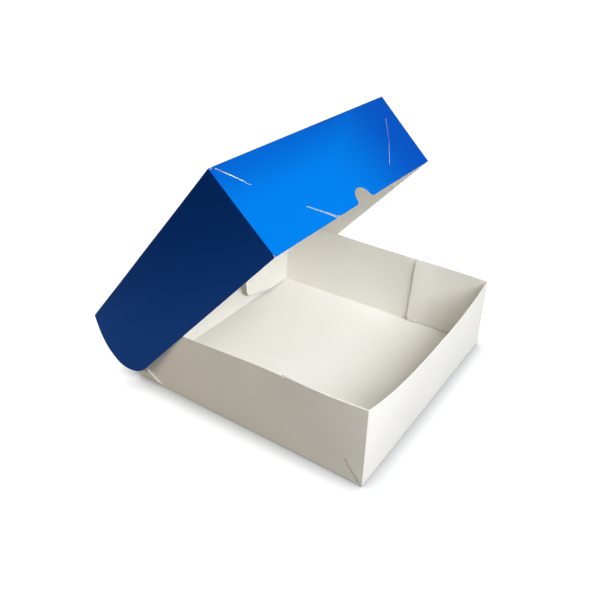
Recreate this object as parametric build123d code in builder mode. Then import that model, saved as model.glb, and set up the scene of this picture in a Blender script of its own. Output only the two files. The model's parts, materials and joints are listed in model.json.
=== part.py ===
from build123d import *
import os
from math import cos, radians, sin

# Pastry takeaway box folded from one sheet of card: a tray, a back wall and a full-depth lid.
# Millimetres, +Z up. Origin on the table under the middle of the tray floor.
# +Y points to the fold that the back wall turns on, +X to the tray's right side as seen from the front.

os.makedirs("parts", exist_ok=True)

# card
card = 0.5
slit = 0.4

# tray
tray_width = 192.0
tray_length = 200.0
tray_height = 61.0
corner_flap_rim = 61.4
corner_flap_foot = 65.0
foot_cut = 21.2
foot_cut_along = 7.4
foot_cut_up = 9.6
rim_cut = 12.4
rim_cut_along = 54.5
rim_cut_down = 2.9
rear_flap_rim = 57.0
rear_flap_foot = 61.0
rear_flap_drop = 1.5
rear_flap_gap = 0.4

# fold lines
fold_gap = 0.3
back_wall_lean = 45.9

# lid, measured from the inner corner of the fold at the foot of the back wall
side_clearance = 1.0
front_clearance = 0.6
rim_clearance = 0.6
lid_shortfall = 1.0
lid_corner_radius = 20.0
lid_side_bulge = 5.5
lid_flap = 60.0
lid_flap_inset = 1.0
notch_radius = 8.0
notch_centre = 1.6
notch_lip = 3.0
fold_cut = 16.5
fold_cut_in = 9.3
fold_cut_down = 6.2
edge_cut = 20.0
edge_cut_in = 54.3
edge_cut_up = 9.7

# derived
half_width = tray_width / 2
half_length = tray_length / 2
lean = radians(back_wall_lean)
forward = Vector(0, -cos(lean), sin(lean))
upward = Vector(0, sin(lean), cos(lean))
foot = Vector(0, half_length, card)
roof = tray_height - card + rim_clearance
roof_top = roof + card
lid_depth = tray_height - lid_shortfall
lid_low = roof_top - lid_depth
lid_half_in = half_width + side_clearance
lid_half_out = lid_half_in + card
lid_front = tray_length + front_clearance
lid_front_out = lid_front + card

# Tray: floor, side walls, front wall with its glued end flaps, and the two rear flaps
with BuildPart() as tray:
    with BuildSketch(Plane.XY) as floor_outline:
        Rectangle(tray_width, tray_length)
    extrude(amount=card)

    # left side wall, from the front corner to just short of the back wall
    wall_rear = half_length - rear_flap_gap
    with BuildSketch(Plane.YZ.offset(-half_width)) as side_outline:
        with BuildLine():
            Polyline(
                (-half_length, 0),
                (wall_rear, 0),
                (wall_rear, tray_height),
                (-half_length, tray_height),
                close=True,
            )
        make_face()
    extrude(amount=card)

    # end flap of the front wall, glued to the inside of the side wall
    with BuildSketch(Plane.YZ.offset(-half_width + card)) as corner_flap_outline:
        with BuildLine():
            Polyline(
                (-half_length, 0),
                (-half_length + corner_flap_foot, 0),
                (-half_length + corner_flap_rim, tray_height),
                (-half_length, tray_height),
                close=True,
            )
        make_face()
    extrude(amount=card)

    # cuts along the 45 degree line where the glued corner can fold flat
    with BuildSketch(Plane.YZ.offset(-half_width)) as corner_cuts:
        with Locations((-half_length + foot_cut_along, foot_cut_up)):
            SlotCenterToCenter(foot_cut, slit, rotation=50)
        with Locations((-half_length + rim_cut_along, tray_height - rim_cut_down)):
            SlotCenterToCenter(rim_cut, slit, rotation=44)
    extrude(amount=card, mode=Mode.SUBTRACT)

    # rear flap, folded inwards behind the floor's rear edge
    with BuildSketch(Plane.XZ.offset(-wall_rear)) as rear_flap_outline:
        with BuildLine():
            Polyline(
                (-half_width, card + fold_gap),
                (-half_width + rear_flap_foot, card + fold_gap),
                (-half_width + rear_flap_rim, tray_height - rear_flap_drop),
                (-half_width, tray_height),
                close=True,
            )
        make_face()
    extrude(amount=card)

    mirror(about=Plane.YZ)

    with BuildSketch(Plane.XZ.offset(half_length)) as front_outline:
        with Locations((0, tray_height / 2)):
            Rectangle(tray_width, tray_height)
    extrude(amount=-card)

tray.part.label = "tray"
export_step(tray.part, "parts/tray.step")

# Back wall: one flat panel between the two folds
back_plane = Plane(origin=foot, x_dir=(1, 0, 0), z_dir=forward)
back_top = roof - fold_gap

with BuildPart() as back_wall:
    with BuildSketch(back_plane) as back_outline:
        with Locations((0, (fold_gap + back_top) / 2)):
            Rectangle(tray_width, back_top - fold_gap)
    extrude(amount=-card)

back_wall.part.label = "back_wall"
export_step(back_wall.part, "parts/back_wall.step")

# Lid: top panel, bulging side panels, front panel with a thumb notch, and glued end flaps
roof_plane = Plane(origin=foot + upward * roof_top, x_dir=(1, 0, 0), z_dir=upward)
edge_plane = Plane(origin=foot + upward * lid_low, x_dir=(1, 0, 0), z_dir=upward)
side_plane = Plane(origin=foot, x_dir=forward, z_dir=(-1, 0, 0))
front_plane = Plane(origin=foot + forward * lid_front, x_dir=(1, 0, 0), z_dir=forward)
roof_rear = fold_gap - card

with BuildPart() as lid:
    # left side panel: straight along the roof fold, bowed outwards along its free edge
    with BuildSketch(edge_plane) as bowed_edge:
        with BuildLine():
            outer = TangentArc(
                (-lid_half_out, -lid_front_out),
                (-lid_half_out - lid_side_bulge, -roof_rear),
                tangent=(0, 1),
            )
            inner = TangentArc(
                (-lid_half_in, -lid_front_out),
                (-lid_half_in - lid_side_bulge, -roof_rear),
                tangent=(0, 1),
            )
            Line(outer @ 0, inner @ 0)
            Line(outer @ 1, inner @ 1)
        make_face()
    with BuildSketch(roof_plane) as straight_edge:
        with BuildLine():
            Polyline(
                (-lid_half_out, -lid_front_out),
                (-lid_half_out, -roof_rear),
                (-lid_half_in, -roof_rear),
                (-lid_half_in, -lid_front_out),
                close=True,
            )
        make_face()
    loft()

    # round off the free rear corner
    with BuildSketch(side_plane.offset(half_width)) as corner_waste:
        with BuildLine():
            Line((roof_rear - 1, lid_low - 1), (roof_rear + lid_corner_radius, lid_low - 1))
            Line((roof_rear + lid_corner_radius, lid_low - 1), (roof_rear + lid_corner_radius, lid_low))
            RadiusArc(
                (roof_rear + lid_corner_radius, lid_low),
                (roof_rear, lid_low + lid_corner_radius),
                lid_corner_radius,
            )
            Line((roof_rear, lid_low + lid_corner_radius), (roof_rear - 1, lid_low + lid_corner_radius))
            Line((roof_rear - 1, lid_low + lid_corner_radius), (roof_rear - 1, lid_low - 1))
        make_face()
    extrude(amount=20, mode=Mode.SUBTRACT)

    # front flap of the side panel, glued inside the front panel
    with BuildSketch(front_plane) as end_flap_outline:
        with BuildLine():
            Polyline(
                (-lid_half_in, lid_low + lid_flap_inset),
                (-lid_half_in + lid_flap, lid_low + lid_flap_inset),
                (-lid_half_in + lid_flap, roof),
                (-lid_half_in, roof),
                close=True,
            )
        make_face()
    extrude(amount=-card)

    mirror(about=Plane.YZ)

    # top panel
    with BuildSketch(roof_plane) as roof_outline:
        with Locations((0, -(roof_rear + lid_front_out) / 2)):
            Rectangle(2 * lid_half_out, lid_front_out - roof_rear)
    extrude(amount=-card)

    # front panel
    with BuildSketch(front_plane) as front_panel_outline:
        with Locations((0, (lid_low + roof_top) / 2)):
            Rectangle(2 * lid_half_out, lid_depth)
    extrude(amount=card)

    # thumb notch, with its mouth eased outwards
    with BuildSketch(front_plane) as notch_outline:
        with Locations((0, lid_low + notch_centre)):
            Circle(notch_radius)
        with Locations((0, lid_low)):
            Rectangle(2 * (notch_radius + notch_lip), 2 * notch_lip)
        with Locations(
            (-notch_radius - notch_lip, lid_low + notch_lip),
            (notch_radius + notch_lip, lid_low + notch_lip),
        ):
            Circle(notch_lip, mode=Mode.SUBTRACT)
    extrude(amount=card, mode=Mode.SUBTRACT)

    # cuts along the two 45 degree lines of the front panel
    with BuildSketch(front_plane) as front_cuts:
        with Locations((-lid_half_out + fold_cut_in, roof_top - fold_cut_down)):
            SlotCenterToCenter(fold_cut, slit, rotation=-46)
        with Locations((lid_half_out - fold_cut_in, roof_top - fold_cut_down)):
            SlotCenterToCenter(fold_cut, slit, rotation=46)
        with Locations((-lid_half_out + edge_cut_in, lid_low + edge_cut_up)):
            SlotCenterToCenter(edge_cut, slit, rotation=-42)
        with Locations((lid_half_out - edge_cut_in, lid_low + edge_cut_up)):
            SlotCenterToCenter(edge_cut, slit, rotation=42)
    extrude(amount=card, mode=Mode.SUBTRACT)

lid.part.label = "lid"
export_step(lid.part, "parts/lid.step")

for piece in (tray, back_wall, lid):
    size = piece.part.bounding_box().size
    print(piece.part.label, len(piece.part.solids()), round(piece.part.volume), size)
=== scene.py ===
import json
import math

import bpy
import numpy as np
from mathutils import Matrix, Vector, noise
from mathutils.geometry import delaunay_2d_cdt


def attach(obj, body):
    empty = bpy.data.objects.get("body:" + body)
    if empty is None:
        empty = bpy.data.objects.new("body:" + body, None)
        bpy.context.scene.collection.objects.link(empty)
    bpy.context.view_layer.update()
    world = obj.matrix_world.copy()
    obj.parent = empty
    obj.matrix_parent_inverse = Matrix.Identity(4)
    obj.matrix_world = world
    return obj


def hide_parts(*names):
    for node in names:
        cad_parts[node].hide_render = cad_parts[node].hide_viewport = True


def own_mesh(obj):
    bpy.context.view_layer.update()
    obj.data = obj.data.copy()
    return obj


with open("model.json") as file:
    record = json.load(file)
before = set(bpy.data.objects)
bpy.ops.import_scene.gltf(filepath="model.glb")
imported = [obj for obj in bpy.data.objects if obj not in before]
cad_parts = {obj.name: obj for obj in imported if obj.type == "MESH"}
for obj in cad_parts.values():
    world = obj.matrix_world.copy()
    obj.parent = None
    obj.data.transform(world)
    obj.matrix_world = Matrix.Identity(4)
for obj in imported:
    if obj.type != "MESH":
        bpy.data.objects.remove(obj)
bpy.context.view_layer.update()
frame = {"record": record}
mm = 0.001  # everything below is worked out in millimetres and scaled once, when a mesh is made
print("stage: frame loaded")

# thickness, outer radius of a fold, spacing of the mesh, and half width of a pressed crease
card = {"thick": 0.5, "foldRadius": 0.95, "grid": 4.0, "creaseWidth": 0.6}
fibreDepth = 0.0002  # metres


def newMaterial(name):
    material = bpy.data.materials.new(name)
    material.use_nodes = True
    nodes = material.node_tree.nodes
    return material, nodes, material.node_tree.links, nodes["Principled BSDF"]


def addGrain(nodes, links, shader, grain):
    # fine fibre texture of coated board, as a bump on the card's own coordinates
    scale, strength = grain
    coords = nodes.new("ShaderNodeTexCoord")
    fibre = nodes.new("ShaderNodeTexNoise")
    fibre.inputs["Scale"].default_value = scale
    fibre.inputs["Detail"].default_value = 6.0
    fibre.inputs["Roughness"].default_value = 0.6
    bump = nodes.new("ShaderNodeBump")
    bump.inputs["Strength"].default_value = strength
    bump.inputs["Distance"].default_value = fibreDepth
    links.new(coords.outputs["Object"], fibre.inputs["Vector"])
    links.new(fibre.outputs["Fac"], bump.inputs["Height"])
    links.new(bump.outputs["Normal"], shader.inputs["Normal"])
    return coords


def addMottle(nodes, links, shader, coords, scale, lowColor, highColor):
    # very soft unevenness of the tone
    cloud = nodes.new("ShaderNodeTexNoise")
    cloud.inputs["Scale"].default_value = scale
    cloud.inputs["Detail"].default_value = 3.0
    ramp = nodes.new("ShaderNodeValToRGB")
    ramp.color_ramp.elements[0].position = 0.3
    ramp.color_ramp.elements[0].color = (*lowColor, 1)
    ramp.color_ramp.elements[1].position = 0.7
    ramp.color_ramp.elements[1].color = (*highColor, 1)
    links.new(coords.outputs["Object"], cloud.inputs["Vector"])
    links.new(cloud.outputs["Fac"], ramp.inputs["Fac"])
    links.new(ramp.outputs["Color"], shader.inputs["Base Color"])


whiteBoard = {
    "low": (0.87, 0.845, 0.785), "high": (0.90, 0.875, 0.815), "mottle": 18.0,
    "roughness": 0.62, "specular": 0.35, "grain": (900.0, 0.12),
}


def makeWhite():
    material, nodes, links, shader = newMaterial("boardWhite")
    shader.inputs["Roughness"].default_value = whiteBoard["roughness"]
    shader.inputs["Specular IOR Level"].default_value = whiteBoard["specular"]
    coords = addGrain(nodes, links, shader, whiteBoard["grain"])
    addMottle(nodes, links, shader, coords, whiteBoard["mottle"], whiteBoard["low"], whiteBoard["high"])
    return material


bluePrint = {
    "paintedLitAzure": (0.0, 0.145, 0.54), "royal": (0.001, 0.065, 0.38),
    "sideUpperPaintedShade": (0.0, 0.035, 0.21), "sideLowerPaintedLight": (0.014, 0.076, 0.36),
    "roughness": 0.52, "specular": 0.01, "grain": (700.0, 0.06), "mottle": 12.0, "mottleLow": 0.95,
    # painted light and shade: the print shades to a second tone along a line, from and to two places on it
    # in metres, and how far; on the front panel it stands in for light falling on its left and lower part,
    # on the side panels for shade above and a lighter lower part
    "frontPaintedLight": [((1, 0, 0), -0.015, 0.085, 1.0), ((0, 0.718, 0.696), 0.102, 0.136, 0.68)],
    "sidePaintedShade": [((0, -4.24, -7.59), -1.44, -0.44, 1.0)],
}


def makeBlue(name, color, toColor=None, paintedLightDrifts=()):
    material, nodes, links, shader = newMaterial(name)
    shader.inputs["Roughness"].default_value = bluePrint["roughness"]
    shader.inputs["Specular IOR Level"].default_value = bluePrint["specular"]
    coords = addGrain(nodes, links, shader, bluePrint["grain"])
    if not paintedLightDrifts:
        lowColor = tuple(c * bluePrint["mottleLow"] for c in color)
        addMottle(nodes, links, shader, coords, bluePrint["mottle"], lowColor, color)
        return material
    # painted light and shade: the base colour drifts between two tones along the given lines
    shares = []
    for line, start, end, most in paintedLightDrifts:
        onLine = nodes.new("ShaderNodeVectorMath")
        onLine.operation = "DOT_PRODUCT"
        onLine.inputs[1].default_value = line
        links.new(coords.outputs["Object"], onLine.inputs[0])
        share = nodes.new("ShaderNodeMapRange")
        share.interpolation_type = "SMOOTHSTEP"
        share.inputs["From Min"].default_value = start
        share.inputs["From Max"].default_value = end
        share.inputs["To Max"].default_value = most
        links.new(onLine.outputs["Value"], share.inputs["Value"])
        shares.append(share.outputs["Result"])
    while len(shares) > 1:
        larger = nodes.new("ShaderNodeMath")
        larger.operation = "MAXIMUM"
        links.new(shares.pop(), larger.inputs[0])
        links.new(shares.pop(), larger.inputs[1])
        shares.append(larger.outputs["Value"])
    tone = nodes.new("ShaderNodeMix")
    tone.data_type = "RGBA"
    tone.inputs[6].default_value = (*color, 1)  # 6 and 7 are the two colours of a colour mix
    tone.inputs[7].default_value = (*toColor, 1)
    links.new(shares[0], tone.inputs[0])
    links.new(tone.outputs[2], shader.inputs["Base Color"])
    return material


cutEdge = {"color": (0.78, 0.755, 0.70), "roughness": 0.85, "grain": (2500.0, 0.3)}
# painted shade: a dark colour on the glued layer just behind an open cut, where hardly any light gets in
cutPocketPaintedShade = {"color": (0.20, 0.165, 0.13), "roughness": 0.9}


def makeRaw(name, finish):
    material, nodes, links, shader = newMaterial(name)
    shader.inputs["Base Color"].default_value = (*finish["color"], 1)
    shader.inputs["Roughness"].default_value = finish["roughness"]
    if "grain" in finish:
        addGrain(nodes, links, shader, finish["grain"])
    return material


matWhite = makeWhite()
matBlue = makeBlue("boardBlue", bluePrint["royal"])
# painted light: the front panel is a lighter azure at its left and lower part and turns to the deeper blue
# of the top, standing in for light falling on it
matBlueFrontPaintedLight = makeBlue("boardBlueFrontPaintedLight", bluePrint["paintedLitAzure"], bluePrint["royal"], bluePrint["frontPaintedLight"])
# painted shade: the side panels are a darker blue above, standing in for their shade, and lighter towards
# their lower part, standing in for light thrown up from below
matBlueSidePaintedShade = makeBlue(
    "boardBlueSidePaintedShade", bluePrint["sideUpperPaintedShade"], bluePrint["sideLowerPaintedLight"], bluePrint["sidePaintedShade"])
matEdge = makeRaw("boardCutEdge", cutEdge)
matPocketPaintedShade = makeRaw("boardInCutPaintedShade", cutPocketPaintedShade)
# slots of a sheet: outer face, inner face, cut edge
whiteCard = [matWhite, matWhite, matEdge]
blueCard = [matBlue, matWhite, matEdge]
blueSideCardPaintedShade = [matBlueSidePaintedShade, matWhite, matEdge]
blueFrontCardPaintedLight = [matBlueFrontPaintedLight, matWhite, matEdge]
# the fourth slot is painted shade, used inside an open cut
outerSlot, innerSlot, cutSlot, pocketShadeSlot = range(4)
print("stage: materials made")


def insideLoop(points, loop):
    # even-odd test of many points against one closed loop
    x, y = points[:, 0], points[:, 1]
    inside = np.zeros(len(points), bool)
    for (x0, y0), (x1, y1) in zip(loop, loop[1:] + loop[:1]):
        if y0 == y1:
            continue
        crosses = (y0 > y) != (y1 > y)
        inside ^= crosses & (x < (x1 - x0) * (y - y0) / (y1 - y0) + x0)
    return inside


def divided(points, step, closed=True):
    # the same line with more points on it, at most a step apart
    ends = points[1:] + points[:1] if closed else points[1:]
    result = []
    for (x0, y0), (x1, y1) in zip(points, ends):
        count = max(1, math.ceil(math.hypot(x1 - x0, y1 - y0) / step))
        result += [(x0 + (x1 - x0) * i / count, y0 + (y1 - y0) * i / count) for i in range(count)]
    if not closed:
        result.append(points[-1])
    return result


def arcPoints(centre, radius, startDeg, endDeg, count=14):
    angles = [math.radians(startDeg + (endDeg - startDeg) * i / count) for i in range(count + 1)]
    return [(centre[0] + radius * math.cos(a), centre[1] + radius * math.sin(a)) for a in angles]


def slit(points, width, startWidth=None):
    # thin closed loop along a line, tapering almost to a point at its far end
    startWidth = width if startWidth is None else startWidth
    tipShare = 0.3
    left, right = [], []
    for i, (x, y) in enumerate(points):
        x0, y0 = points[max(i - 1, 0)]
        x1, y1 = points[min(i + 1, len(points) - 1)]
        length = math.hypot(x1 - x0, y1 - y0)
        share = i / (len(points) - 1)
        half = (startWidth * (1 - share) + width * share) / 2
        if i == len(points) - 1:
            half *= tipShare
        nx, ny = -(y1 - y0) / length * half, (x1 - x0) / length * half
        left.append((x + nx, y + ny))
        right.append((x - nx, y - ny))
    return left + right[::-1]


def lineDistance(u, v, line):
    best = math.inf
    for (x0, y0), (x1, y1) in zip(line, line[1:]):
        dx, dy = x1 - x0, y1 - y0
        t = max(0.0, min(1.0, ((u - x0) * dx + (v - y0) * dy) / (dx * dx + dy * dy)))
        best = min(best, math.hypot(u - x0 - t * dx, v - y0 - t * dy))
    return best


creaseRows = (-1.6, -0.8, -0.35, 0, 0.35, 0.8, 1.6)  # mesh lines beside a crease


def layOutCard(outline, cuts, creases, cracks, uRows, vRows, step):
    # triangles of one flat panel, with mesh lines along its cuts, creases, cracks and folds
    loop = divided(outline, step * 0.6)
    verts, edges = [], []

    def addLine(points, closed):
        start = len(verts)
        verts.extend(Vector(p) for p in points)
        count = len(points)
        edges.extend((start + i, start + (i + 1) % count) for i in range(count if closed else count - 1))

    addLine(loop, True)
    for cut in cuts:
        addLine(divided(cut, step * 0.5), True)
    us, vs = [p[0] for p in outline], [p[1] for p in outline]
    lowU, highU, lowV, highV = min(us), max(us), min(vs), max(vs)
    for u in uRows:
        addLine(divided([(u, lowV), (u, highV)], step, closed=False), False)
    for v in vRows:
        addLine(divided([(lowU, v), (highU, v)], step, closed=False), False)
    for line, _ in creases:
        (x0, y0), (x1, y1) = line[0], line[-1]
        length = math.hypot(x1 - x0, y1 - y0)
        nx, ny = -(y1 - y0) / length, (x1 - x0) / length
        for shift in creaseRows:
            beside = [(x + nx * shift, y + ny * shift) for x, y in line]
            addLine(divided(beside, step * 0.7, closed=False), False)
    for line, halfWidth, _ in cracks:
        addLine(slit(line, 2 * halfWidth), True)
    for i in range(int((highU - lowU) / step)):
        for j in range(int((highV - lowV) / step)):
            verts.append(Vector((lowU + (i + 0.5) * step, lowV + (j + 0.5) * step)))

    flat, _, faces, _, _, _ = delaunay_2d_cdt(verts, edges, [], 0, 1e-5)
    flatArray = np.array([tuple(p) for p in flat])
    centres = flatArray[np.array(faces)].mean(axis=1)
    keep = insideLoop(centres, loop)
    for cut in cuts:
        keep &= ~insideLoop(centres, cut)
    faces = [f for f, k in zip(faces, keep) if k]
    used = sorted({i for f in faces for i in f})
    index = {old: new for new, old in enumerate(used)}
    return [tuple(flat[i]) for i in used], [[index[i] for i in f] for f in faces]


def creaseDent(u, v, creases):
    width = card["creaseWidth"]
    dent = 0.0
    for line, depth in creases:
        away = lineDistance(u, v, line)
        if away < 4 * width:
            dent -= depth * math.exp(-(away / width) ** 2)
    return dent


probe = 0.04  # distance over which a face's direction is measured
uvPerMm = 0.005


def cardSheet(name, outline, place, outward, materials, cuts=(), creases=(), cracks=(),
              uRows=(), vRows=(), step=None, edgeSlot=None):
    # one panel of card: place(u, v) gives its outer face, and outward says which way its normal goes
    flatPoints, faces = layOutCard(outline, cuts, creases, cracks, uRows, vRows, step or card["grid"])
    outer, inner, normals = [], [], []
    for u, v in flatPoints:
        du = place(u + probe, v) - place(u - probe, v)
        dv = place(u, v + probe) - place(u, v - probe)
        normal = du.cross(dv).normalized() * outward
        point = place(u, v) + normal * creaseDent(u, v, creases)
        outer.append(point)
        inner.append(point - normal * card["thick"])
        normals.append(normal)

    def turned(face):
        a, b, c = face
        return (outer[b] - outer[a]).cross(outer[c] - outer[a]).dot(normals[a]) < 0

    # edges that only one face uses get a strip of cut edge
    uses = {}
    for f in faces:
        for a, b in zip(f, f[1:] + f[:1]):
            uses[frozenset((a, b))] = None if frozenset((a, b)) in uses else (a, b)
    rim = [pair for pair in uses.values() if pair]
    count = len(outer)
    points = outer + inner
    meshFaces, slots, corners = [], [], []
    for f in faces:
        front = f[::-1] if turned(f) else f
        meshFaces.append(front)
        meshFaces.append([i + count for i in front[::-1]])
        # along a cracked line the outer face takes another material, which on the tray's end flaps is
        # painted shade
        middle = np.array([flatPoints[i] for i in f]).mean(axis=0)
        crackSlots = [slot for line, halfWidth, slot in cracks if lineDistance(*middle, line) < halfWidth]
        slots += [crackSlots[0] if crackSlots else outerSlot, innerSlot]
        corners += [flatPoints[i] for i in front] + [flatPoints[i] for i in front[::-1]]
    turnedFirst = turned(faces[0])
    for a, b in rim:
        start = len(points)
        points += [outer[a], outer[b], inner[b], inner[a]]
        quad = [start, start + 1, start + 2, start + 3]
        meshFaces.append(quad if turnedFirst else quad[::-1])
        slots.append(edgeSlot(*flatPoints[a]) if edgeSlot else cutSlot)
        corners += [flatPoints[a], flatPoints[b], flatPoints[b], flatPoints[a]]

    mesh = bpy.data.meshes.new(name)
    mesh.from_pydata([p * mm for p in points], [], meshFaces)
    for material in materials:
        mesh.materials.append(material)
    mesh.polygons.foreach_set("material_index", slots)
    mesh.polygons.foreach_set("use_smooth", [s < cutSlot for s in slots])
    uvs = mesh.uv_layers.new(name="cardFlat")
    uvs.data.foreach_set("uv", [c * uvPerMm for pair in corners for c in pair])
    flatNormals = [tuple(n) for n in normals] + [tuple(-n) for n in normals]
    flatNormals += [(0.0, 0.0, 0.0)] * (len(points) - 2 * count)
    mesh.normals_split_custom_set_from_vertices(flatNormals)
    mesh.update()
    obj = bpy.data.objects.new(name, mesh)
    bpy.context.scene.collection.objects.link(obj)
    return obj


def stepBeside(u, v, line, outs, reach, flip=1):
    # lifts the card on one side of a cut, by the amounts at the cut's start, middle and end
    (x0, y0), (x1, y1) = line[0], line[-1]
    length = math.hypot(x1 - x0, y1 - y0)
    share = ((u - x0) * (x1 - x0) + (v - y0) * (y1 - y0)) / length ** 2
    side = ((x1 - x0) * (v - y0) - (y1 - y0) * (u - x0)) / length * flip
    if side < 0:
        return 0.0
    beyond = max(0.0, -share, share - 1) * length
    amount = np.interp(share, (0, 0.5, 1), outs)
    return amount * math.exp(-side / reach) * math.exp(-(beyond / (0.6 * reach)) ** 2)


inset = card["foldRadius"]
foldArc = inset * math.pi / 2
foldSteps = 5
foldRows = [foldArc * k / foldSteps for k in range(1, foldSteps + 1)]


def bendRows(start):
    # mesh lines through a rounded corner that begins at start
    return [start + foldArc * k / foldSteps for k in range(foldSteps)]


def foldProfile(s):
    # outer face of a fold: how far inside the wall's plane it is, and how far along the wall
    if s >= foldArc:
        return 0.0, inset + s - foldArc
    angle = s / inset
    return inset * (1 - math.sin(angle)), inset * (1 - math.cos(angle))


def smooth(x):
    x = max(0.0, min(1.0, x))
    return x * x * (3 - 2 * x)


def along(table, x):
    # smooth way through a table of (place, amount)
    for (x0, y0), (x1, y1) in zip(table, table[1:]):
        if x <= x1:
            break
    return y0 + (y1 - y0) * smooth((x - x0) / (x1 - x0))


def ripple(u, v, seed, size=45.0):
    return noise.noise(Vector((u / size + seed * 7.3, v / size - seed * 3.1, seed * 1.7)))


tray = {
    "halfWidth": 96.0, "halfLength": 100.0, "height": 61.0, "rearGap": 0.4,
    # the side walls lean out from leanFrom on, and hardly further behind heldFrom, where the lid holds them
    "splayLeft": 5.6, "splayRight": 9.0, "leanFrom": 55.0, "leanOver": 145.0, "leanPower": 1.15,
    "heldFrom": 155.0, "heldShare": 0.25,
    # their front ends bulge a little as far as the diagonal crease
    "leftEndOut": 0.9, "rightEndOut": 1.2, "endOver": 74.0, "diagonal": 60.0, "diagonalOver": 34.0,
    # the front rim bows out, most on its left half, and its corners are drawn in
    "bow": 5.3, "bowLeftMore": 0.9, "bowPower": 1.6, "bowBand": 6.0, "cornerIn": 2.6, "cornerReach": 60.0,
    "leftRimUp": [(0, 0.1), (60, 1.3), (150, 0.0), (201, 0.0)], "rightCornerUp": -1.5,
    "floorLift": 0.25, "floorWave": 0.05, "sideWave": 0.18,
    # end flaps of the front wall, lifted off the side walls at their free edges and behind the foot cut
    "flapRim": 61.4, "flapFoot": 65.0, "flapGap": 0.12, "leftFlapLift": 0.2, "rightFlapLift": 1.3,
    "flapLiftFrom": 42.0, "flapLiftOver": 24.0, "pocketDepth": 1.2, "pocketAt": (8, 9), "pocketReach": 12,
    # how far the cuts stand open
    "footCutOuts": (0.3, 0.6, 0), "rimCutOuts": (0.7, 0.6, 0), "footReach": 9.0, "rimReach": 24.0,
    "rearCutOut": 1.4, "rearCutBack": 2.4, "rearCutTop": 15.5,
    "rearFlapRim": 57.0, "rearFlapFoot": 59.5,
    "rearFlapBow": [(0, 0.0), (14, 1.4), (30, 2.0), (46, 0.8), (64, -1.4)],
}
halfW, halfL, wallH = tray["halfWidth"], tray["halfLength"], tray["height"]


def sideLean(fromFront, z, splay, endOut, diagonal):
    # how far a side wall stands outside its upright plane
    level = z / wallH
    # above 0 behind the diagonal crease
    side = (fromFront * wallH - z * tray["diagonal"]) / math.hypot(wallH, tray["diagonal"])
    heldFrom = tray["heldFrom"]
    held = min(fromFront, heldFrom) + tray["heldShare"] * max(0.0, fromFront - heldFrom)
    rear = splay * max(0.0, (held - tray["leanFrom"]) / tray["leanOver"]) ** tray["leanPower"]
    front = endOut * math.sin(math.pi * min(fromFront / tray["endOver"], 1.0))
    share = smooth(side / tray["diagonalOver"] + 0.5)
    return level * (front * (1 - share) + rear)


def trayShift(x, y, z):
    # the walls' real bow and corner heights, as a shift of the straight tray
    level = z / wallH
    fromFront = y + halfL
    fromLeft, fromRight = x + halfW, halfW - x
    reach = tray["cornerReach"]
    dx = level * tray["cornerIn"] * max(0.0, 1 - max(fromLeft, fromFront) / reach) ** tray["bowPower"]
    across = max(-1.0, min(1.0, x / halfW))
    bow = tray["bow"] * (1 - across ** 2) * (1 + tray["bowLeftMore"] * max(0.0, -across) ** tray["bowPower"])
    dy = -level * bow * max(0.0, 1 - fromFront / tray["bowBand"])
    leftUp = along(tray["leftRimUp"], fromFront) * (1 - fromLeft / (2 * halfW))
    rightUp = tray["rightCornerUp"] * max(0.0, 1 - fromFront / reach) * (1 - fromRight / (2 * halfW))
    return Vector((x + dx, y + dy, z + level * (leftUp + rightUp)))


def floorPlace(u, v):
    if abs(u) >= halfW - 2 or abs(v) >= halfL - 2:
        return Vector((u, v, 0.0))
    lift = tray["floorLift"] * math.cos(math.pi * u / (2 * halfW)) * math.cos(math.pi * v / (2 * halfL))
    return Vector((u, v, lift + tray["floorWave"] * ripple(u, v, 3)))


floorX, floorFront, floorRear = halfW - inset, -halfL + inset, halfL - 0.05
floorOutline = [(-floorX, floorFront), (floorX, floorFront), (floorX, floorRear), (-floorX, floorRear)]
trayFloor = cardSheet("trayFloor", floorOutline, floorPlace, -1, whiteCard)

glueGap = 0.05
frontCorner = halfW - card["thick"] - glueGap  # the outer face of the glued end flap
frontFlat = frontCorner - inset


def frontPlace(q, s):
    inward, z = foldProfile(s)
    side = 1 if q >= 0 else -1
    beyond = abs(q) - frontFlat
    if beyond <= 0:
        x, y = q, -halfL + inward
    else:
        angle = min(beyond / inset, math.pi / 2)
        rest = max(0.0, beyond - inset * math.pi / 2)
        x = side * (frontFlat + inset * math.sin(angle))
        y = -halfL + inset * (1 - math.cos(angle)) + rest + inward * math.cos(angle)
    return trayShift(x, y, z)


frontEnd = frontFlat + foldArc
topS = foldArc + wallH - inset
frontOutline = [
    (-frontFlat, 0), (frontFlat, 0), (frontEnd, foldArc),
    (frontEnd, topS), (-frontEnd, topS), (-frontEnd, foldArc),
]
cornerRows = [side * row for side in (-1, 1) for row in bendRows(frontFlat)]
trayFront = cardSheet("trayFront", frontOutline, frontPlace, 1, whiteCard, uRows=cornerRows, vRows=foldRows)


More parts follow.
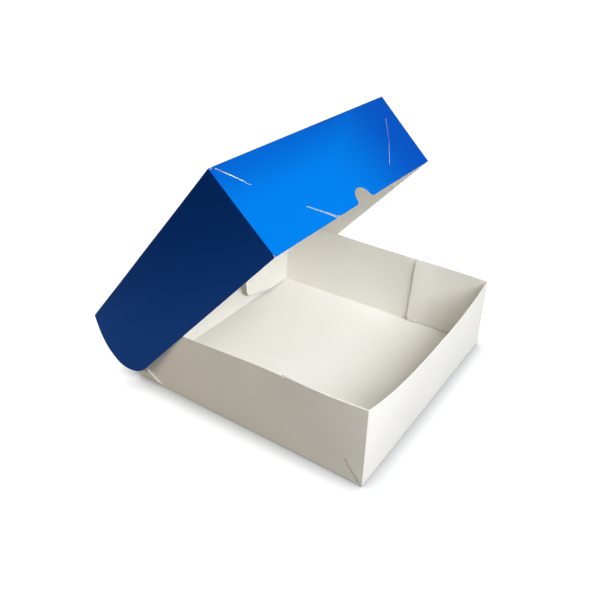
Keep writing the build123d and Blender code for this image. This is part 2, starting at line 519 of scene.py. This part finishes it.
def makeTraySide(side):
    left = side < 0
    outward = -1 if left else 1
    splay = tray["splayLeft"] if left else tray["splayRight"]
    endOut = tray["leftEndOut"] if left else tray["rightEndOut"]
    flapLift = tray["leftFlapLift"] if left else tray["rightFlapLift"]
    wallEnd = 2 * halfL - tray["rearGap"] - inset
    footLine = [(0.5, foldArc + 0.2), (4.2, 4.9), (8.0, 9.6), (14.2, 17.8)]
    rimLine = [(60.4, topS + 0.6), (57.4, topS - 2.4), (53.6, 57.6), (49.8, 53.6)]
    rearLine = [(200 - 25.0, foldArc + 0.1), (200 - 10.6, 12.6)]

    def rearStep(q, s):
        # the lowest rear corner stands proud behind a pressed diagonal line
        (x0, y0), (x1, y1) = rearLine
        ahead = ((x1 - x0) * (s - y0) - (y1 - y0) * (q - x0)) / 18.0
        if ahead > 0.5:
            return 0.0
        low = smooth((s - 0.8) / 4.0) * smooth((tray["rearCutTop"] - s) / 4.0)
        return tray["rearCutOut"] * smooth(0.5 - ahead) * math.exp(min(ahead, 0) / 12.0) * low

    def backNearFoot(z):
        return tray["rearCutBack"] * smooth((14.0 - z) / 9.0)

    def place(q, s):
        inward, z = foldProfile(s)
        beyond = q - wallEnd
        angle = max(0.0, min(beyond / inset, math.pi / 2))
        fromFront = min(q, wallEnd) + inset * math.sin(angle)
        x = halfW - inward * math.cos(angle) - inset * (1 - math.cos(angle)) - max(0.0, beyond - foldArc)
        x += sideLean(fromFront, z, splay, endOut, left)
        if left and s > foldArc:
            x += stepBeside(q, s, footLine, tray["footCutOuts"], tray["footReach"])
            x += stepBeside(q, s, rimLine, tray["rimCutOuts"], tray["rimReach"])
            x += rearStep(q, s)
            fromFront += backNearFoot(z) * smooth((q - 178.0) / 20.0)
        wave = ripple(q, s, 5 if left else 8) * smooth((z - 3) / 25) * smooth((q - 5) / 30)
        return trayShift(side * (x + tray["sideWave"] * wave), fromFront - halfL, z)

    # diagonal of the corner that folds flat: a cut at the foot, a crease, and a cut at the rim
    footCut = slit(footLine, 0.5, 0.9)
    rimCut = slit(rimLine, 0.2, 0.6)
    creases = [([(16.4, 20.4), (32.0, 36.0), (48.0, 52.0)], 0.09)]
    if left:
        creases.append((rearLine, 0.0))
    outline = [(0, 0.3), (wallEnd, 0), (wallEnd + foldArc, foldArc), (wallEnd + foldArc, topS), (0, topS)]
    name = "traySideLeft" if left else "traySideRight"
    wall = cardSheet(name, outline, place, outward, whiteCard, cuts=[footCut, rimCut], creases=creases,
                     uRows=bendRows(wallEnd), vRows=foldRows)

    # end flap of the front wall, glued inside
    inner = card["thick"] + glueGap

    def flapPlace(q, s):
        z = inset + s - foldArc
        pocketQ, pocketS = tray["pocketAt"]
        pocket = math.exp(-(math.hypot(q - pocketQ, s - pocketS) / tray["pocketReach"]) ** 2)
        lift = tray["flapGap"] + flapLift * smooth((q - tray["flapLiftFrom"]) / tray["flapLiftOver"])
        lift += tray["pocketDepth"] * pocket
        x = halfW - inner + sideLean(q, z, splay, endOut, left) - lift
        return trayShift(side * x, q - halfL, z)

    flapRim, flapLow = tray["flapRim"], foldArc + 0.1
    flapOutline = [
        (inset, flapLow), (tray["flapFoot"], flapLow), (flapRim, topS - 0.6),
        (flapRim - 1.2, topS - 0.1), (inset, topS - 0.1),
    ]
    pressed = [(2.0, 3.0), (30.0, 31.0), (58.0, 59.5)]
    # painted shade: a dark strip on the flap along the foot cut, where the gap between the layers lies in
    # shade
    pocketShadeLine = [(2.0, 2.6), *footLine[1:]]
    flapName, rearName = name.replace("Side", "EndFlap"), name.replace("Side", "RearFlap")
    flap = cardSheet(flapName, flapOutline, flapPlace, outward, whiteCard + [matPocketPaintedShade],
                     creases=[(pressed, 0.06)], cracks=[(pocketShadeLine, 1.1, pocketShadeSlot)])

    # rear flap, turned in from the wall's rear edge, with its lower free corner cut back
    rearX, rearY = halfW - inset, halfL - tray["rearGap"]

    def rearPlace(q, s):
        z = inset + s - foldArc
        x = rearX - q + sideLean(2 * halfL - tray["rearGap"], z, splay, endOut, left)
        y = rearY - along(tray["rearFlapBow"], q)
        rise = max(0.0, q - 2.0) * splay / wallH * 0.35
        if left:
            y += backNearFoot(z) * math.exp(-q / 6.0)
        return Vector((side * x, y, z + rise))

    rimQ, footQ = tray["rearFlapRim"], tray["rearFlapFoot"]
    rearOutline = [
        (0, flapLow), (footQ - 34, flapLow), (footQ - 2.5, foldArc + 4.6), (footQ + 0.2, foldArc + 7.4),
        (footQ + 1.8, foldArc + 23), (rimQ, topS - 6), (rimQ - 5.0, topS - 1.6), (1.0, topS - 0.2),
        (0, topS),
    ]
    rear = cardSheet(rearName, rearOutline, rearPlace, outward, whiteCard, vRows=[foldArc])
    return wall, flap, rear


leftPieces = makeTraySide(-1)
rightPieces = makeTraySide(1)
for piece in (trayFloor, trayFront, *leftPieces, *rightPieces):
    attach(piece, "tray")
    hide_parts("tray")

# the side walls, their end and rear flaps and the front wall each get a mesh of their own
for pieces, side, splay in ((leftPieces, -1, tray["splayLeft"]), (rightPieces, 1, tray["splayRight"])):
    wall, endFlap, rearFlap = pieces
    for piece in (wall, endFlap):
        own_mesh(piece)
    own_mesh(rearFlap)
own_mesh(trayFront)
print("stage: tray made")


# the lid's own directions: forward along its top from the fold, and upward from the tray's floor to the top
joints = {j["name"]: j for j in frame["record"]["behaviour"]["joints"]}
openAngle = math.radians(45.9)
foot = Vector(joints["back_hinge"]["pos_m"]) / mm
forward = Vector((0, -math.cos(openAngle), math.sin(openAngle)))
upward = Vector((0, math.sin(openAngle), math.cos(openAngle)))

lid = {
    "roof": 61.6, "halfWidth": 97.5, "front": 201.1, "rear": -0.2, "depth": 60.0, "cornerRadius": 20.0,
    # how the free rear ends of the side panels curl outwards
    "leftBulge": {"out": 7.4, "reach": 175.0, "fade": 1.5, "crest": 34.0, "curlBack": 0.8},
    "rightBulge": {"out": 8.3, "reach": 200.0, "fade": 0.8, "crest": 26.0, "curlBack": 0.6},
    # how the front edge is drawn in and down, and the front left corner of the top out and up
    "frontIn": 1.1, "frontDown": 0.3, "cornerPull": (2.3, 0.9), "rightUp": 1.0, "rearDown": 1.2,
    "pullFrom": 60, "pullOver": 140, "pullPower": 1.5, "leftFrom": 40, "leftOver": 137.5, "rearOver": 100,
    # the front panel's swell, by the distance from its left end
    "edgeSwell": [(0, 0.0), (30, 0.7), (62, 1.2), (97, 2.3), (130, 2.3), (152, 2.0), (195, 0.6)],
    "swellPower": 1.4, "backBend": 0.5, "crown": 0.5, "roofWave": 0.12, "sideWave": 0.15, "frontWave": 0.12,
    "flapLength": 60.0, "flapGap": 0.12, "flapLift": 0.5,
    "notchRadius": 8.0, "notchCentre": 1.6, "notchLip": 3.0,
}


def lidPoint(x, f, u):
    # the front panel is drawn in towards its free edge, and the lid's front left corner is pulled up and out
    drawn = max(0.0, (lid["roof"] - u) / lid["depth"]) * max(0.0, f / lid["front"]) ** 3
    level = max(0.0, min(1.0, u / lid["roof"]))
    leftShare = max(0.0, min(1.0, (lid["leftFrom"] - x) / lid["leftOver"]))
    frontShare = max(0.0, min(1.0, (f - lid["pullFrom"]) / lid["pullOver"])) ** lid["pullPower"]
    outX, upU = lid["cornerPull"]
    x -= outX * leftShare * frontShare * level
    cornerUp = frontShare * (upU * leftShare + lid["rightUp"] * (1 - leftShare))
    u += level * (cornerUp - lid["rearDown"] * leftShare * max(0.0, 1 - f / lid["rearOver"]))
    f -= lid["frontIn"] * drawn
    u -= lid["frontDown"] * drawn
    return foot + Vector((x, 0, 0)) + forward * f + upward * u


backTop = lid["roof"] - card["thick"] - 0.1
backHalf = halfW - 0.3


def backPlace(u, v):
    bend = lid["backBend"] * math.sin(math.pi * v / backTop) * smooth((halfW - abs(u)) / 30)
    return lidPoint(u, -card["thick"] - bend, v)


def backEdgeSlot(u, v):
    # the fold along the top shows the print
    return outerSlot if v > backTop - 0.1 else cutSlot


backOutline = [(-backHalf, 0.0), (backHalf, 0.0), (backHalf, backTop), (-backHalf, backTop)]
backWall = cardSheet("backPanel", backOutline, backPlace, -1, blueCard, edgeSlot=backEdgeSlot)
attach(backWall, "back")
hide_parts("back_wall")

edgeW, roofU, frontF, rearF = lid["halfWidth"], lid["roof"], lid["front"], lid["rear"]


def roofPlace(u, v):
    share = max(0.0, min(1.0, (v - rearF) / (frontF - rearF)))
    crown = lid["crown"] * math.cos(math.pi * u / (2 * edgeW)) * math.sin(math.pi * share)
    fade = smooth((edgeW - abs(u)) / 12) * smooth((v - rearF) / 12) * smooth((frontF - v) / 12)
    return lidPoint(u, v, roofU + crown + lid["roofWave"] * fade * ripple(u, v, 11, 60))


def roofEdgeSlot(u, v):
    # all four edges are folds, so they show the print
    return outerSlot


roofX, roofFront = edgeW - inset, frontF - inset
roofOutline = [(-roofX, rearF), (roofX, rearF), (roofX, roofFront), (-roofX, roofFront)]
lidRoof = cardSheet("lidRoof", roofOutline, roofPlace, -1, blueCard, edgeSlot=roofEdgeSlot)


def sideBulge(f, depth, shape):
    # the free rear end of a side panel curls outwards between its fold and its lower edge
    reach = max(0.0, 1 - max(f, 0.0) / shape["reach"]) ** shape["fade"]
    if depth < shape["crest"]:
        profile = math.sin(math.pi / 2 * max(depth, 0.0) / shape["crest"])
    else:
        profile = math.cos((depth - shape["crest"]) / (lid["depth"] - shape["crest"]) * shape["curlBack"])
    return shape["out"] * reach * profile


sideFront = frontF - card["thick"] - glueGap
sideFlat = sideFront - inset
bottom = foldArc + lid["depth"] - inset


def frontSwell(near, depth):
    # how far the front panel stands out, from its left end and its fold to the lid's top
    return along(lid["edgeSwell"], near) * (max(depth, 0) / lid["depth"]) ** lid["swellPower"]


def makeLidSide(side):
    left = side < 0
    outward = -1 if left else 1

    def place(q, s):
        # q runs forward from the rear end, s down from the roof fold
        inward, depth = foldProfile(s)
        beyond = max(0.0, q - sideFlat)
        angle = min(beyond / inset, math.pi / 2)
        f = min(q, sideFlat) + inset * math.sin(angle)
        x = edgeW - inward * math.cos(angle) - inset * (1 - math.cos(angle)) - max(0.0, beyond - foldArc)
        x += sideBulge(f, depth, lid["leftBulge" if left else "rightBulge"])
        wave = ripple(q, s, 21 if left else 27) * smooth((depth - 3) / 15) * smooth((sideFlat - q) / 30)
        return lidPoint(side * (x + lid["sideWave"] * wave), f, roofU - depth)

    r = lid["cornerRadius"]
    rounded = arcPoints((rearF + r, bottom - r), r, 180, 90)
    outline = [
        (rearF, 0), *rounded, (sideFlat, bottom), (sideFlat + foldArc, bottom - 0.6),
        (sideFlat + foldArc, foldArc), (sideFlat, 0),
    ]
    name = "lidSideLeft" if left else "lidSideRight"
    # the side panels take the blue with painted shade
    wall = cardSheet(name, outline, place, outward, blueSideCardPaintedShade, uRows=bendRows(sideFlat), vRows=foldRows)

    def flapPlace(q, s):
        # glued to the front panel, apart from its free end
        depth = inset + s - foldArc
        lift = lid["flapGap"] + lid["flapLift"] * smooth((q - 44.0) / 16.0) * smooth((depth - 12) / 30)
        x = side * (edgeW - inset - q)
        return lidPoint(x, sideFront - lift + frontSwell(x + edgeW, depth), roofU - depth)

    length, flapTop = lid["flapLength"], foldArc + 0.1
    flapOutline = [(0, flapTop), (length - 0.5, flapTop), (length - 2.5, bottom - 1.8), (0, bottom - 1.0)]
    flap = cardSheet(name.replace("Side", "EndFlap"), flapOutline, flapPlace, outward, whiteCard)
    return wall, flap


# cuts in the front panel, each point by its distance from the side and from the top
frontCuts = {
    "leftFold": [(4.2, 1.9), (10.6, 8.6), (16.9, 15.4), (17.4, 16.8), (20.0, 18.8)],
    "leftEdge": [(46.5, 44.1), (54.5, 51.5), (64.3, 60.6)],
    "right": [(14.6, 17.0), (32.0, 33.9), (48.7, 48.0)],
    # how far the card stands out beside each cut, at its start, middle and end, and how far off that fades
    "foldStep": ((0.6, 0.35, 0), 9.0), "edgeStep": ((0, 0.8, 1.7), 25.0), "rightStep": ((0.3, 0.5, 0), 7.0),
    "crack": 0.17,
}


def lidFrontPlace(q, s):
    # the panel swells towards its free edge, and steps where its two corner triangles are cut free
    inward, depth = foldProfile(s)
    near = q + edgeW
    out = frontSwell(near, depth)
    if s > foldArc:
        leftFold = stepBeside(near, depth, frontCuts["leftFold"], *frontCuts["foldStep"], -1)
        out += leftFold * smooth((depth - 0.4) / 3)
        out += stepBeside(near, depth, frontCuts["leftEdge"], *frontCuts["edgeStep"], -1)
        out += stepBeside(2 * edgeW - near, depth, frontCuts["right"], *frontCuts["rightStep"])
    out += lid["frontWave"] * ripple(q, s, 31) * smooth((depth - 3) / 15)
    return lidPoint(q, frontF - inward + out, roofU - depth)


def makeLidFront():
    # lower edge with the thumb notch and its eased lips
    radius, lip, centreV = lid["notchRadius"], lid["notchLip"], bottom - lid["notchCentre"]
    lipX = math.sqrt((radius + lip) ** 2 - (lip - lid["notchCentre"]) ** 2)
    meet = math.degrees(math.atan2(lip - lid["notchCentre"], lipX))
    rightLip = arcPoints((lipX, bottom - lip), lip, 180 - meet, 90, 6)
    arch = arcPoints((0, centreV), radius, -meet, -180 + meet, 24)
    leftLip = [(-x, y) for x, y in rightLip[::-1]]
    # the upper left corner is open where the fold's end is cut away
    openCorner = [(2.6, 0), (2.9, 1.2), (2.0, 2.0), (0, 1.6)]
    outline = [(-edgeW, bottom), *leftLip, *arch[::-1], *rightLip, (edgeW, bottom), (edgeW, 0.4)]
    outline += [(edgeW - 1.2, 0)] + [(-edgeW + x, y) for x, y in openCorner]
    cuts, cracks = [], []
    widths = (("leftFold", -1, 0.12, 0.2), ("leftEdge", -1, 0.12, 0.12), ("right", 1, 0.15, 0.4))
    for key, side, far, near in widths:
        line = [(side * (edgeW - x), depth + foldArc - inset) for x, depth in frontCuts[key]]
        cuts.append(slit(line, far, near))
        cracks.append((line[-2:] if key == "right" else line, frontCuts["crack"], innerSlot))

    def edgeSlot(u, v):
        # the two ends are folds, so they show the print
        return outerSlot if abs(u) > edgeW - 0.3 and v < bottom - 0.4 else cutSlot

    return cardSheet("lidFront", outline, lidFrontPlace, -1, blueFrontCardPaintedLight, cuts=cuts, cracks=cracks,
                     vRows=foldRows, step=3.0, edgeSlot=edgeSlot)


lidFront = makeLidFront()
lidSideLeft, lidFlapLeft = makeLidSide(-1)
lidSideRight, lidFlapRight = makeLidSide(1)
for piece in (lidRoof, lidFront, lidSideLeft, lidFlapLeft, lidSideRight, lidFlapRight):
    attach(piece, "lid")
    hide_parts("lid")

# the front panel and its left end flap get meshes of their own, and a point and direction at the lid's front
# edge are worked out
flatAnchor, flatAxis = tuple((foot + forward * lid["front"]) * mm), tuple(forward)
for piece in (lidFront, lidFlapLeft):
    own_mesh(piece)
    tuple(flatAxis)
    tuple(flatAnchor)
print("stage: lid made")


def anySeen(nodes, links):
    # 1 for rays from the camera: straight, mirrored or passed through
    path = nodes.new("ShaderNodeLightPath")
    mirrored, passed = nodes.new("ShaderNodeMath"), nodes.new("ShaderNodeMath")
    mirrored.operation = passed.operation = "MAXIMUM"
    links.new(path.outputs["Is Camera Ray"], mirrored.inputs[0])
    links.new(path.outputs["Is Glossy Ray"], mirrored.inputs[1])
    links.new(mirrored.outputs["Value"], passed.inputs[0])
    links.new(path.outputs["Is Transmission Ray"], passed.inputs[1])
    return passed.outputs["Value"]


# the floor looks white and keeps a soft shadow near the card, and throws little light back at it
ground = {
    "size": 8, "below": 0.0003, "roughness": 0.9, "color": 0.22, "glow": 0.94, "bounce": 0.22,
    "contactReach": 0.018, "contactTone": 0.30, "contactFrom": 0.45, "samples": 16,
}


def makeGround():
    bpy.ops.mesh.primitive_plane_add(size=ground["size"], location=(0, 0, -ground["below"]))
    plane = bpy.context.object
    plane.name = "ground"
    material, nodes, links, shader = newMaterial("paleFloor")
    shader.inputs["Roughness"].default_value = ground["roughness"]
    shader.inputs["Specular IOR Level"].default_value = 0.0
    shader.inputs["Base Color"].default_value = (ground["color"],) * 3 + (1,)
    shader.inputs["Emission Strength"].default_value = ground["glow"]
    contact = nodes.new("ShaderNodeAmbientOcclusion")
    contact.inputs["Distance"].default_value = ground["contactReach"]
    contact.samples = ground["samples"]
    ramp = nodes.new("ShaderNodeValToRGB")
    ramp.color_ramp.elements[0].position = ground["contactFrom"]
    ramp.color_ramp.elements[0].color = (ground["contactTone"],) * 3 + (1,)
    ramp.color_ramp.elements[1].position = 1.0
    ramp.color_ramp.elements[1].color = (1, 1, 1, 1)
    links.new(contact.outputs["AO"], ramp.inputs["Fac"])
    links.new(ramp.outputs["Color"], shader.inputs["Emission Color"])
    dull = nodes.new("ShaderNodeBsdfDiffuse")
    dull.inputs["Color"].default_value = (ground["bounce"],) * 3 + (1,)
    either = nodes.new("ShaderNodeMixShader")
    links.new(anySeen(nodes, links), either.inputs[0])
    links.new(dull.outputs["BSDF"], either.inputs[1])
    links.new(shader.outputs["BSDF"], either.inputs[2])
    links.new(either.outputs["Shader"], nodes["Material Output"].inputs["Surface"])
    plane.data.materials.append(material)
    return plane


makeGround()

sky = {"color": (1.0, 0.96, 0.88), "horizon": 0.11, "zenith": 0.42}


def makeWorld():
    # a warm, low sky that is brighter overhead, seen as plain white
    world = bpy.data.worlds.new("studio")
    bpy.context.scene.world = world
    world.use_nodes = True
    nodes, links = world.node_tree.nodes, world.node_tree.links
    background = nodes["Background"]
    background.inputs["Color"].default_value = (*sky["color"], 1)
    direction = nodes.new("ShaderNodeTexCoord")
    height = nodes.new("ShaderNodeSeparateXYZ")
    strength = nodes.new("ShaderNodeMapRange")
    strength.inputs["To Min"].default_value = sky["horizon"]
    strength.inputs["To Max"].default_value = sky["zenith"]
    links.new(direction.outputs["Generated"], height.inputs["Vector"])
    links.new(height.outputs["Z"], strength.inputs["Value"])
    links.new(strength.outputs["Result"], background.inputs["Strength"])
    white = nodes.new("ShaderNodeBackground")
    white.inputs["Color"].default_value = (1, 1, 1, 1)
    mixed = nodes.new("ShaderNodeMixShader")
    links.new(anySeen(nodes, links), mixed.inputs[0])
    links.new(background.outputs["Background"], mixed.inputs[1])
    links.new(white.outputs["Background"], mixed.inputs[2])
    links.new(mixed.outputs["Shader"], nodes["World Output"].inputs["Surface"])


makeWorld()

lamps = {
    "key": {"at": (-0.10, -0.48, 0.48), "to": (0, 0, 0.06), "power": 4.7, "size": 0.35,
            "color": (0.965, 1.0, 1.055)},
    "fill": {"at": (-0.45, 0.62, 0.14), "to": (-0.1, 0.05, 0.05), "power": 1.55, "size": 0.3,
             "color": (1.18, 1.0, 0.75)},
    "back": {"at": (0.85, 0.80, 0.55), "to": (0, 0, 0.06), "power": 1.6, "size": 0.6,
             "color": (1.0, 1.0, 1.0)},
}


def makeLamp(name, lamp):
    light = bpy.data.lights.new(name, "AREA")
    light.energy = lamp["power"]
    light.size = lamp["size"]
    light.color = lamp["color"]
    obj = bpy.data.objects.new(name, light)
    obj.location = lamp["at"]
    obj.rotation_euler = (Vector(lamp["to"]) - Vector(lamp["at"])).to_track_quat("-Z", "Y").to_euler()
    bpy.context.scene.collection.objects.link(obj)


for lampName, lampValues in lamps.items():
    makeLamp(lampName, lampValues)

# where the photo was taken from, its focal length and the middle of its lens in pixels of a square picture
view = {
    "place": (-0.33957, -0.22629, 0.30164), "right": (0.57721, -0.81653, -0.00972),
    "forward": (0.68818, 0.49282, -0.53249), "focalPixels": 619.1, "centre": (297.6, 312.3), "frame": 600,
    "sensor": 36.0,
}


def makeCamera():
    data = bpy.data.cameras.new("camera")
    data.sensor_width = view["sensor"]
    data.lens = view["focalPixels"] / view["frame"] * view["sensor"]
    data.shift_x = (view["frame"] / 2 - view["centre"][0]) / view["frame"]
    data.shift_y = (view["centre"][1] - view["frame"] / 2) / view["frame"]
    data.clip_start = 0.01
    camera = bpy.data.objects.new("camera", data)
    right, ahead = Vector(view["right"]).normalized(), Vector(view["forward"]).normalized()
    axes = Matrix((right, right.cross(ahead), -ahead)).transposed().to_4x4()
    camera.matrix_world = Matrix.Translation(view["place"]) @ axes
    bpy.context.scene.collection.objects.link(camera)
    bpy.context.scene.camera = camera


makeCamera()
bpy.context.scene.view_settings.view_transform = "Standard"
print("stage: studio made")
